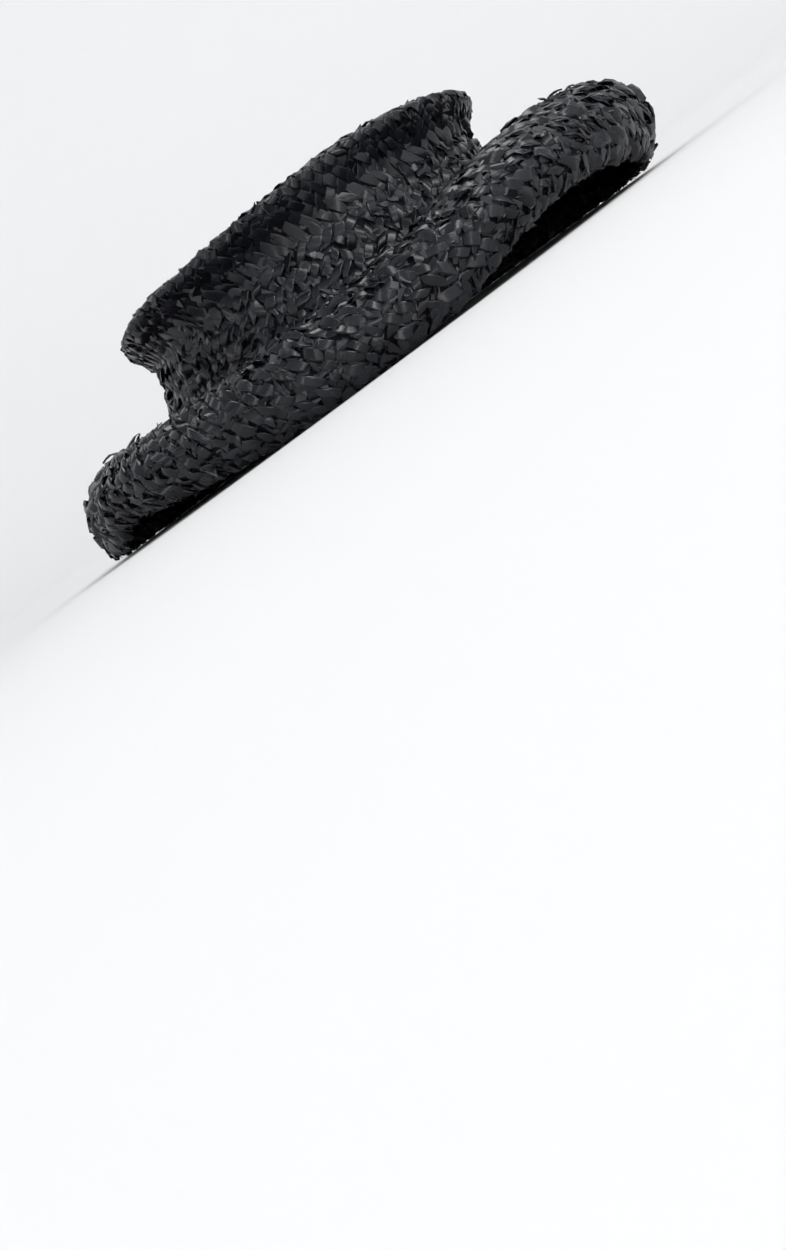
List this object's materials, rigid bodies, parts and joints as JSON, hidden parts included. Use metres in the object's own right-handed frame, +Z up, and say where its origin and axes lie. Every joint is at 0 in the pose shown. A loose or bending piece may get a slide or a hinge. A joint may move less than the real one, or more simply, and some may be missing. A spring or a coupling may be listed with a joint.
{
  "type": "straw boater hat",
  "caption": "Low black woven straw hat with a flat flared crown and a brim that rolls up, over and down.",
  "frame": {"origin": "middle of the brim's outline, on the surface that the hat stands on", "axes": "+Z up through the crown, -Y to the front of the hat, +X to the side where the brim is highest"},
  "size_m": [0.245, 0.253, 0.0704],
  "materials": {
    "black_straw": "glossy woven flat straw"
  },
  "bodies": {
    "root": {"crown": "black_straw", "brim": "black_straw"}
  },
  "joints": []
}
